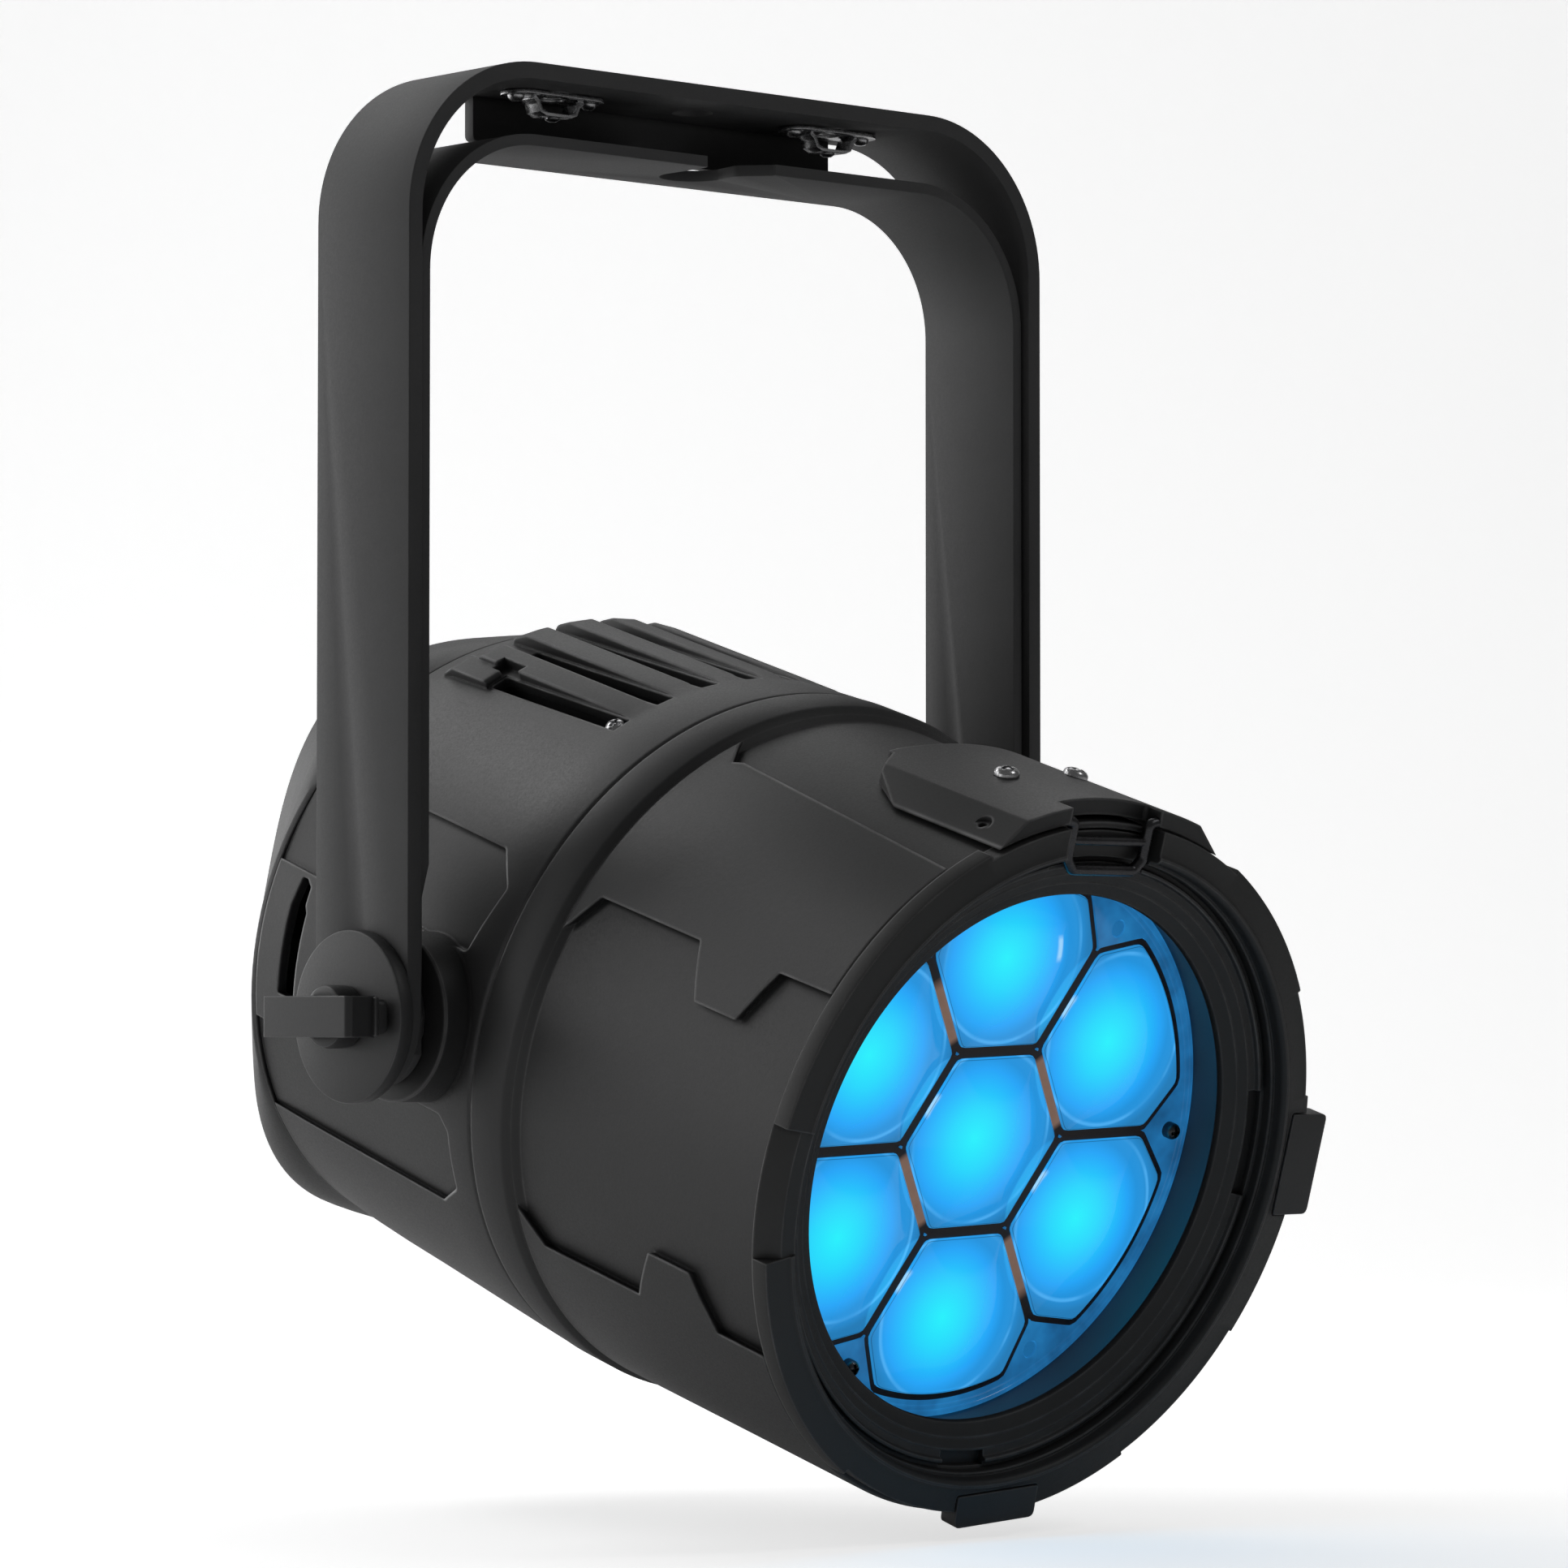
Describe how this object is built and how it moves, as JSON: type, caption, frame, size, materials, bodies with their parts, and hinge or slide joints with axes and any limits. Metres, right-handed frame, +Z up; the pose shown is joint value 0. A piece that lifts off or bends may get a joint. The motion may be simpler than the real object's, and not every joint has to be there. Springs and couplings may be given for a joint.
{
  "type": "par can light",
  "caption": "Round zoom wash stage light with a clustered lens face, held by a folding double yoke with two tilt knobs and an accessory latch.",
  "frame": {"origin": "centre of the bounding box at rest, on the plane midway between the yoke arms", "axes": "+Z up, towards the clamp face; -Y is the side the beam leaves; +X is the right side seen from behind the light; head pitched 16.8 degrees nose down at rest about an axis parallel to X"},
  "size_m": [0.3084, 0.3558, 0.4456],
  "materials": {
    "body_coat": "satin black powder coat",
    "yoke_coat": "satin charcoal powder coat",
    "black_plastic": "matte black moulding",
    "rubber": "matte black rubber",
    "steel": "bright zinc plated",
    "aluminium": "bare",
    "anodised": "black anodised",
    "lens_acrylic": "clear moulded acrylic lit cyan blue",
    "circuit_board": "green solder mask",
    "window": "smoked clear window"
  },
  "bodies": {
    "yoke": {"outer_yoke": "yoke_coat", "receptacle_left": "steel", "receptacle_right": "steel", "tilt_disc_left": "yoke_coat", "tilt_disc_right": "yoke_coat", "yoke_washer_left": "black_plastic", "yoke_washer_right": "black_plastic"},
    "inner_leg": {"inner_yoke": "yoke_coat"},
    "handle_left": {"tilt_handle_left": "black_plastic", "pivot_bolt_left": "steel"},
    "handle_right": {"tilt_handle_right": "black_plastic", "pivot_bolt_right": "steel"},
    "head": {"rear_housing": "body_coat", "rear_cap": "body_coat", "front_tube": "body_coat", "housing_seal": "rubber", "accessory_plate": "body_coat", "plate_screw_left": "steel", "plate_screw_right": "steel", "vent_screw_left": "steel", "vent_screw_right": "steel", "front_bezel": "body_coat", "clip_right": "black_plastic", "clip_bottom": "black_plastic", "lens_sleeve": "black_plastic", "zoom_motor": "steel", "guide_rod_upper": "steel", "guide_rod_lower": "steel", "led_board": "circuit_board", "heat_sink": "anodised", "fan_frame": "black_plastic", "power_supply": "aluminium", "control_board": "circuit_board", "display_window": "window", "power_in": "black_plastic", "power_out": "black_plastic", "data_in": "black_plastic", "data_out": "black_plastic", "hub_washer_left": "black_plastic", "hub_washer_right": "black_plastic"},
    "carriage": {"lens_carrier": "black_plastic", "lens_cell_0": "lens_acrylic", "lens_cell_1": "lens_acrylic", "lens_cell_2": "lens_acrylic", "lens_cell_3": "lens_acrylic", "lens_cell_4": "lens_acrylic", "lens_cell_5": "lens_acrylic", "lens_cell_6": "lens_acrylic", "lens_screw_0": "steel", "lens_screw_1": "steel", "lens_screw_2": "steel"},
    "zoom_screw": {"zoom_lead_screw": "steel"},
    "fan": {"fan_rotor": "black_plastic"},
    "latch": {"latch_wire": "steel"},
    "button_menu": {"button_menu": "rubber"},
    "button_up": {"button_up": "rubber"},
    "button_down": {"button_down": "rubber"},
    "button_enter": {"button_enter": "rubber"}
  },
  "joints": [
    {"name": "head_tilt", "type": "hinge", "parent": "yoke", "child": "head", "pos_m": [0, 0.01358, -0.06995], "axis": [1, 0, 0], "range_deg": [-106.8, 163.2]},
    {"name": "inner_leg_fold", "type": "hinge", "parent": "yoke", "child": "inner_leg", "pos_m": [0, 0.01358, -0.06995], "axis": [1, 0, 0], "range_deg": [-150, 0]},
    {"name": "handle_left_turn", "type": "hinge", "parent": "yoke", "child": "handle_left", "pos_m": [-0.1379, 0.01358, -0.06995], "axis": [1, 0, 0], "range_deg": [-180, 180]},
    {"name": "handle_right_turn", "type": "hinge", "parent": "yoke", "child": "handle_right", "pos_m": [0.1379, 0.01358, -0.06995], "axis": [1, 0, 0], "range_deg": [-180, 180]},
    {"name": "latch_swing", "type": "hinge", "parent": "head", "child": "latch", "pos_m": [0, -0.17494, -0.01259], "axis": [1, 0, 0], "range_deg": [-165, 0]},
    {"name": "zoom_slide", "type": "slide", "parent": "head", "child": "carriage", "axis": [0, -0.9573, -0.289], "range_m": [-0.055, 0]},
    {"name": "zoom_screw_turn", "type": "hinge", "parent": "head", "child": "zoom_screw", "pos_m": [-0.0775, -0.04455, -0.08499], "axis": [0, -0.9573, -0.289], "range_deg": [-1238, 0]},
    {"name": "fan_spin", "type": "hinge", "parent": "head", "child": "fan", "pos_m": [0, 0.07368, -0.0493], "axis": [0, -0.9573, -0.289], "continuous": true},
    {"name": "button_menu_press", "type": "slide", "parent": "head", "child": "button_menu", "axis": [0, -0.9573, -0.289], "range_m": [0, 0.0012]},
    {"name": "button_up_press", "type": "slide", "parent": "head", "child": "button_up", "axis": [0, -0.9573, -0.289], "range_m": [0, 0.0012]},
    {"name": "button_down_press", "type": "slide", "parent": "head", "child": "button_down", "axis": [0, -0.9573, -0.289], "range_m": [0, 0.0012]},
    {"name": "button_enter_press", "type": "slide", "parent": "head", "child": "button_enter", "axis": [0, -0.9573, -0.289], "range_m": [0, 0.0012]}
  ],
  "couplings": [
    {"joint": "zoom_screw_turn", "follows": "zoom_slide", "rad_per_m": 392.7}
  ]
}
